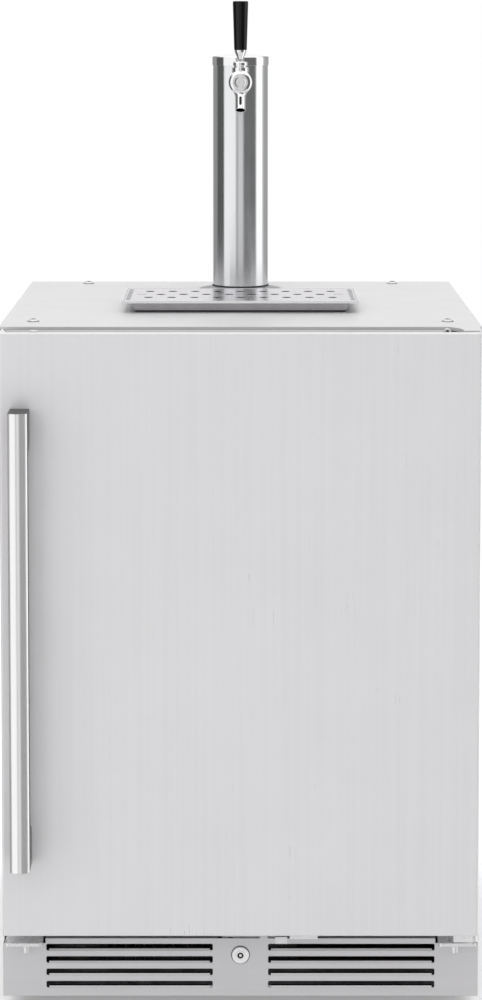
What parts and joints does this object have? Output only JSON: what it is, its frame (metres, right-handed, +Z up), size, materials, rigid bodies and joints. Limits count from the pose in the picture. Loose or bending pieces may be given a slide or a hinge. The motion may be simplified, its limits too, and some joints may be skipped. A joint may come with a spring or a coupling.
{
  "type": "kegerator",
  "caption": "Undercounter beer cooler with a stainless door, louvred toe-kick with lock, drip tray and a chrome draft tower with a tap",
  "frame": {"origin": "on the floor under the middle of the object's overall width and depth", "axes": "+Z up, the door faces -Y, +X to the right when facing the door"},
  "size_m": [0.595, 0.645, 1.26],
  "materials": {
    "stainless": "brushed stainless sheet",
    "worktop_steel": "satin light grey coated sheet",
    "casing_paint": "fine textured black coating",
    "galvanised": "dull zinc coated sheet",
    "white_plastic": "moulded white liner",
    "grey_plastic": "moulded grey plastic",
    "black_plastic": "moulded black plastic",
    "gloss_black": "polished black phenolic",
    "foam": "rigid insulation foam",
    "rubber": "black rubber",
    "gasket_grey": "soft grey vinyl gasket",
    "chrome": "bright polished chrome",
    "handle_metal": "brushed bar",
    "tray_steel": "satin stainless",
    "zinc": "bright zinc plating",
    "copper": "drawn copper",
    "brass": "machined brass",
    "compressor_paint": "black enamel",
    "aluminium": "bare aluminium",
    "bottle_paint": "brushed aluminium bottle",
    "diffuser": "milky light diffuser",
    "gauge": "plated gauge case with a white dial",
    "beer_hose": "clear flexible beverage hose",
    "gas_hose": "red gas hose"
  },
  "bodies": {
    "cabinet": {"outer_casing": "casing_paint", "worktop": "worktop_steel", "foam_insulation": "foam", "inner_liner": "white_plastic", "back_panel": "galvanised", "rear_cover": "galvanised", "base_pan": "galvanised", "keg_floor_plate": "stainless", "toe_kick": "stainless", "top_hinge_plate": "worktop_steel", "bottom_hinge_brackets": "zinc", "evaporator_cover": "white_plastic", "evaporator_coil": "aluminium", "thermostat_housing": "white_plastic", "led_light_bar": "diffuser", "compressor": "compressor_paint", "condenser_coil": "copper", "condenser_fan_motor": "black_plastic", "lock_cylinder": "chrome", "cord_gland": "black_plastic", "casing_screws": "zinc", "tower_flange": "chrome", "tower_gasket": "rubber", "tower_tube": "chrome", "tower_cap": "chrome", "faucet_shank": "chrome", "shank_collar": "chrome", "faucet_body": "chrome", "faucet_bonnet": "chrome", "beer_line": "beer_hose", "co2_cylinder": "bottle_paint", "cylinder_valve": "brass", "regulator_body": "brass", "pressure_gauges": "gauge", "gas_line": "gas_hose", "coupler_body": "chrome", "rear_feet": "rubber"},
    "door": {"door_skin": "stainless", "door_foam": "foam", "door_liner": "white_plastic", "door_gasket": "gasket_grey", "door_end_caps": "grey_plastic", "door_handle": "handle_metal", "door_hinge_arm": "zinc", "lock_strike": "zinc"},
    "tap_lever": {"tap_lever": "chrome", "tap_handle": "gloss_black"},
    "faucet_shaft": {"faucet_shaft": "chrome"},
    "drip_tray": {"drip_tray": "tray_steel"},
    "drip_grid": {"drip_grid": "tray_steel"},
    "lock_plug": {"lock_plug": "chrome"},
    "lock_bolt": {"lock_bolt": "zinc"},
    "condenser_fan": {"condenser_fan": "black_plastic"},
    "evaporator_fan": {"evaporator_fan": "black_plastic"},
    "valve_handwheel": {"valve_handwheel": "black_plastic"},
    "regulator_knob": {"regulator_knob": "black_plastic"},
    "coupler_handle": {"coupler_handle": "chrome"},
    "coupler_probe": {"coupler_probe": "chrome"},
    "foot_front_left": {"foot_front_left": "rubber"},
    "foot_front_right": {"foot_front_right": "rubber"}
  },
  "joints": [
    {"name": "door_hinge", "type": "hinge", "parent": "cabinet", "child": "door", "pos_m": [0.28, -0.2475, 0.48], "axis": [0, 0, 1], "range_deg": [0, 105]},
    {"name": "tap_pull", "type": "hinge", "parent": "cabinet", "child": "tap_lever", "pos_m": [0, 0.138, 1.173], "axis": [1, 0, 0], "range_deg": [0, 20]},
    {"name": "shaft_slide", "type": "slide", "parent": "cabinet", "child": "faucet_shaft", "axis": [0, 1, 0], "range_m": [0, 0.0076]},
    {"name": "tray_lift", "type": "slide", "parent": "cabinet", "child": "drip_tray", "axis": [0, 0, 1], "range_m": [0, 0.06]},
    {"name": "grid_lift", "type": "slide", "parent": "drip_tray", "child": "drip_grid", "axis": [0, 0, 1], "range_m": [0, 0.04]},
    {"name": "lock_turn", "type": "hinge", "parent": "cabinet", "child": "lock_plug", "pos_m": [0, -0.2415, 0.074], "axis": [0, 1, 0], "range_deg": [0, 90]},
    {"name": "bolt_slide", "type": "slide", "parent": "cabinet", "child": "lock_bolt", "axis": [1, 0, 0], "range_m": [0, 0.02503]},
    {"name": "condenser_fan_spin", "type": "hinge", "parent": "cabinet", "child": "condenser_fan", "pos_m": [-0.05, -0.115, 0.072], "axis": [0, 1, 0], "continuous": true},
    {"name": "evaporator_fan_spin", "type": "hinge", "parent": "cabinet", "child": "evaporator_fan", "pos_m": [-0.149, 0.22, 0.706], "axis": [0, 1, 0], "continuous": true},
    {"name": "valve_turn", "type": "hinge", "parent": "cabinet", "child": "valve_handwheel", "pos_m": [0.1785, 0.1995, 0.608], "axis": [0, 0, 1], "range_deg": [0, 720]},
    {"name": "regulator_turn", "type": "hinge", "parent": "cabinet", "child": "regulator_knob", "pos_m": [0.126, 0.139, 0.577], "axis": [0, -1, 0], "range_deg": [0, 1080]},
    {"name": "coupler_pull", "type": "hinge", "parent": "cabinet", "child": "coupler_handle", "pos_m": [0, 0.2245, 0.655], "axis": [0, 1, 0], "range_deg": [0, 48]},
    {"name": "probe_slide", "type": "slide", "parent": "cabinet", "child": "coupler_probe", "axis": [0, 0, -1], "range_m": [0, 0.0076]},
    {"name": "foot_left_screw", "type": "slide", "parent": "cabinet", "child": "foot_front_left", "axis": [0, 0, -1], "range_m": [0, 0.02]},
    {"name": "foot_right_screw", "type": "slide", "parent": "cabinet", "child": "foot_front_right", "axis": [0, 0, -1], "range_m": [0, 0.02]}
  ],
  "couplings": [
    {"joint": "shaft_slide", "follows": "tap_pull", "m_per_rad": 0.0216},
    {"joint": "lock_turn", "follows": "bolt_slide", "rad_per_m": 62.75},
    {"joint": "probe_slide", "follows": "coupler_pull", "m_per_rad": 0.009}
  ]
}
